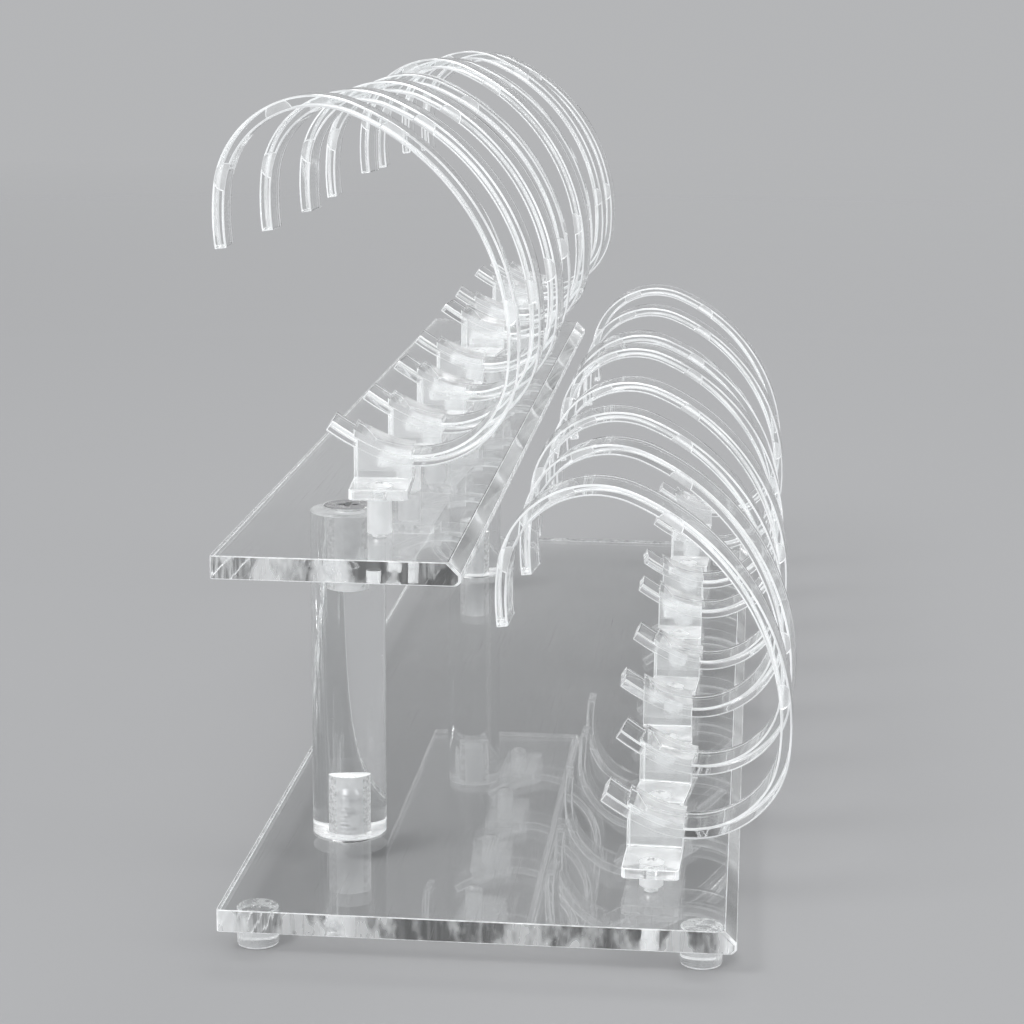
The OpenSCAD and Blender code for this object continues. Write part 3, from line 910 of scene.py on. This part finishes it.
class RACK_OT_ring_screws(RackOperator, Operator):
    """Make the oval-headed clear screws that hold the rings"""
    bl_idname = "rack.ring_screws"
    bl_label = "Ring screws"

    def one(self, r, length):
        """A screw with its head's rim at z = 0 and its point downwards"""
        head, shank, dome = r.head / 2 - JOINT, r.shank / 2 - JOINT, r.dome
        rim, plain, point, pitch = 0.0001, 0.0002, 0.0004, 0.0005
        ball = (head ** 2 + dome ** 2) / (2 * dome)
        reach = atan2(head, ball - dome)
        profile = [(ball * sin(reach * k / 8), dome - ball + ball * cos(reach * k / 8))
                   for k in range(9)]
        profile += [(head - rim, -rim), (shank, shank - head)]
        profile += thread(shank, shank - head - plain, -length + point, pitch)
        profile += [(shank * 0.6, -length), (0, -length)]
        driver = cross(size=0.0028, depth=0.0011, z=dome, way=-1)
        return solid(turned(profile, 64), driver, "DIFFERENCE")

    def execute(self, context):
        r = context.scene.rack.rings
        for tier, node in zip(TIERS, ("base_plate", "upper_plate")):
            row, plate = bmesh.new(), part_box(node)[1].z
            for k in range(1, RINGS + 1):
                x, y, _, top = middle(f"{tier}_post_{k}")
                bm = self.one(r, r.tab_thickness + top - plate + SCREW_REACH - JOINT)
                turn = Matrix.Rotation(0.7 * k, 4, "Z")
                rim = Matrix.Translation((x, y, top + r.tab_thickness))
                bmesh.ops.transform(bm, matrix=rim @ turn, verts=bm.verts)
                add(row, bm)
            piece(f"{tier}_ring_screws_row", row, finishes("screw_clear"),
                  [f"{tier}_ring_screws"])
        return {"FINISHED"}


class RACK_OT_column_screws(RackOperator, Operator):
    """Make the countersunk steel screws that hold the columns"""
    bl_idname = "rack.column_screws"
    bl_label = "Column screws"

    def execute(self, context):
        shank, rim, plain, point, pitch = 0.003 - JOINT, 0.0001, 0.0004, 0.0008, 0.001
        for node, way in (("column_base_screws", 1), ("column_top_screws", -1)):
            low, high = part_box(node)
            length, face = high.z - low.z, (low.z if way > 0 else high.z)
            head = radius_of(node) - JOINT
            profile = [(0, 0), (head - 2 * rim, 0), (head, way * rim),
                       (shank, way * (head - shank))]
            profile += thread(shank, way * (head - shank + plain), way * (length - point), pitch)
            profile += [(shank * 0.7, way * length), (0, way * length)]
            pair = bmesh.new()
            for column in COLUMNS:
                x, y, _, _ = middle(column)
                driver = cross(size=0.005, depth=0.0022, z=0, way=way)
                bm = solid(turned(profile, 64), driver, "DIFFERENCE")
                bmesh.ops.translate(bm, verts=bm.verts, vec=(x, y, face))
                add(pair, bm)
            piece(f"{node}_pair", pair, finishes("screw_steel"), [node])
        return {"FINISHED"}


class RACK_OT_stage(RackOperator, Operator):
    """Make the pale floor, the soft lamps, the world and the camera"""
    bl_idname = "rack.stage"
    bl_label = "Stage"

    # Each lamp's name, place, width and height, and its share of the lamp power
    LAMPS = (("key", (-1.7, -1.7, 2.4), (1.5, 0.9), 3.3),
             ("fill", (2.6, -0.6, 1.7), (1.5, 2.0), 1.2),
             ("rim", (0.4, 2.8, 2.2), (2.2, 0.6), 2.0))
    # The world's bands between horizon and zenith: where each is, and how light
    BANDS = ((0.2, 0.46), (0.33, 0.12), (0.7, 0.14))
    HORIZON, ZENITH = (0.46, 0.465, 0.475, 1), (0.4, 0.405, 0.42, 1)

    def floor(self, finish):
        """A pale disc that fades into the room towards its rim"""
        bm = bmesh.new()
        bmesh.ops.create_circle(bm, cap_ends=True, segments=96, radius=FLOOR_RADIUS)
        ob = put("floor", to_mesh("floor", bm))
        n = Nodes("floor_paper")
        grain = n.noise(900.0, 3.0)
        colour = n.colours(grain, tuple(c * 0.985 for c in finish.floor), finish.floor)
        bump = n.add("ShaderNodeBump", Height=grain, Strength=0.15, Distance=0.0001)
        shader = n.add("ShaderNodeBsdfPrincipled", Base_Color=colour, Roughness=0.7,
                       Specular_IOR_Level=0.25, Normal=bump.outputs["Normal"])
        out = n.add("ShaderNodeVectorMath", {"operation": "LENGTH"}, Vector=n.place)
        fade = n.spread(out.outputs["Value"], FLOOR_RADIUS * 0.35, FLOOR_RADIUS * 0.97)
        open_way = n.add("ShaderNodeBsdfTransparent")
        ob.data.materials.append(n.finish(n.mixed(fade, shader, open_way)))

    def lamp(self, name, place, size, power):
        """A soft lamp aimed at the rack's middle"""
        data = bpy.data.lights.new(name, "AREA")
        data.shape, data.size, data.size_y, data.energy = "RECTANGLE", *size, power
        ob = put(name, data)
        ob.location = place
        aim = Vector((0, 0, 0.1)) - Vector(place)
        ob.rotation_euler = aim.to_track_quat("-Z", "Y").to_euler()

    def world(self):
        """A soft room: pale at the horizon and overhead, dimmer between them"""
        world = bpy.data.worlds.new("soft_room")
        bpy.context.scene.world = world
        world.use_nodes = True
        tree = world.node_tree
        tree.nodes.clear()
        place, split, ramp, light, out = (tree.nodes.new(f"ShaderNode{kind}") for kind in (
            "TexCoord", "SeparateXYZ", "ValToRGB", "Background", "OutputWorld"))
        for start, stop in ((place.outputs["Generated"], split.inputs[0]),
                            (split.outputs["Z"], ramp.inputs["Fac"]),
                            (ramp.outputs["Color"], light.inputs["Color"]),
                            (light.outputs["Background"], out.inputs["Surface"])):
            tree.links.new(start, stop)
        bands = ramp.color_ramp.elements
        bands[0].color, bands[1].color = self.HORIZON, self.ZENITH
        for where, level in self.BANDS:
            bands.new(where).color = (level, level * 1.01, level * 1.03, 1)

    def camera(self):
        """The photograph's camera"""
        yaw, pitch, roll, focus, film = -0.0977, 0.2153, 0.0076, 2455.94, 36.0
        eye = (0.05136, -0.66414, 0.20367)
        ahead = Vector((sin(yaw) * cos(pitch), cos(yaw) * cos(pitch), -sin(pitch)))
        level = Vector((cos(yaw), -sin(yaw), 0))
        upright = level.cross(ahead)
        right = cos(roll) * level + sin(roll) * upright
        up = -sin(roll) * level + cos(roll) * upright
        data = bpy.data.cameras.new("camera")
        data.sensor_width, data.lens = film, focus / PICTURE * film
        data.clip_start, data.clip_end = 0.01, 100.0
        ob = put("camera", data)
        turn = Matrix((right, up, -ahead)).transposed().to_4x4()
        ob.matrix_world = Matrix.Translation(eye) @ turn
        bpy.context.scene.camera = ob

    def execute(self, context):
        finish = context.scene.rack.finish
        self.floor(finish)
        for name, place, size, share in self.LAMPS:
            self.lamp(name, place, size, finish.lamp * share)
        self.world()
        self.camera()
        context.scene.view_settings.view_transform = "Standard"
        return {"FINISHED"}


class RACK_PT_panel(Panel):
    """Lists the rack's pieces in the sidebar"""
    bl_idname = "RACK_PT_panel"
    bl_label = "Acrylic rack"
    bl_space_type = "VIEW_3D"
    bl_region_type = "UI"
    bl_category = "Rack"

    def draw(self, context):
        for operator in OPERATORS:
            self.layout.operator(operator.bl_idname)
        settings = context.scene.rack
        for group in (settings.plates, settings.rods, settings.rings, settings.turns,
                      settings.finish):
            box = self.layout.box()
            for name in group.__annotations__:
                box.prop(group, name)


OPERATORS = (RACK_OT_plates, RACK_OT_columns, RACK_OT_feet, RACK_OT_posts, RACK_OT_rings,
             RACK_OT_ring_screws, RACK_OT_column_screws, RACK_OT_stage)
CLASSES = (RackPlateSizes, RackRodSizes, RackRingSizes, RackTurns, RackFinish, RackSettings,
           *OPERATORS, RACK_PT_panel)


def register():
    for c in CLASSES:
        bpy.utils.register_class(c)
    bpy.types.Scene.rack = PointerProperty(type=RackSettings)


def unregister():
    del bpy.types.Scene.rack
    for c in reversed(CLASSES):
        bpy.utils.unregister_class(c)


def main():
    register()
    bpy.ops.rack.plates()
    bpy.ops.rack.columns()
    bpy.ops.rack.feet()
    bpy.ops.rack.posts()
    bpy.ops.rack.rings()
    bpy.ops.rack.ring_screws()
    bpy.ops.rack.column_screws()
    bpy.ops.rack.stage()


if __name__ == "__main__":
    main()
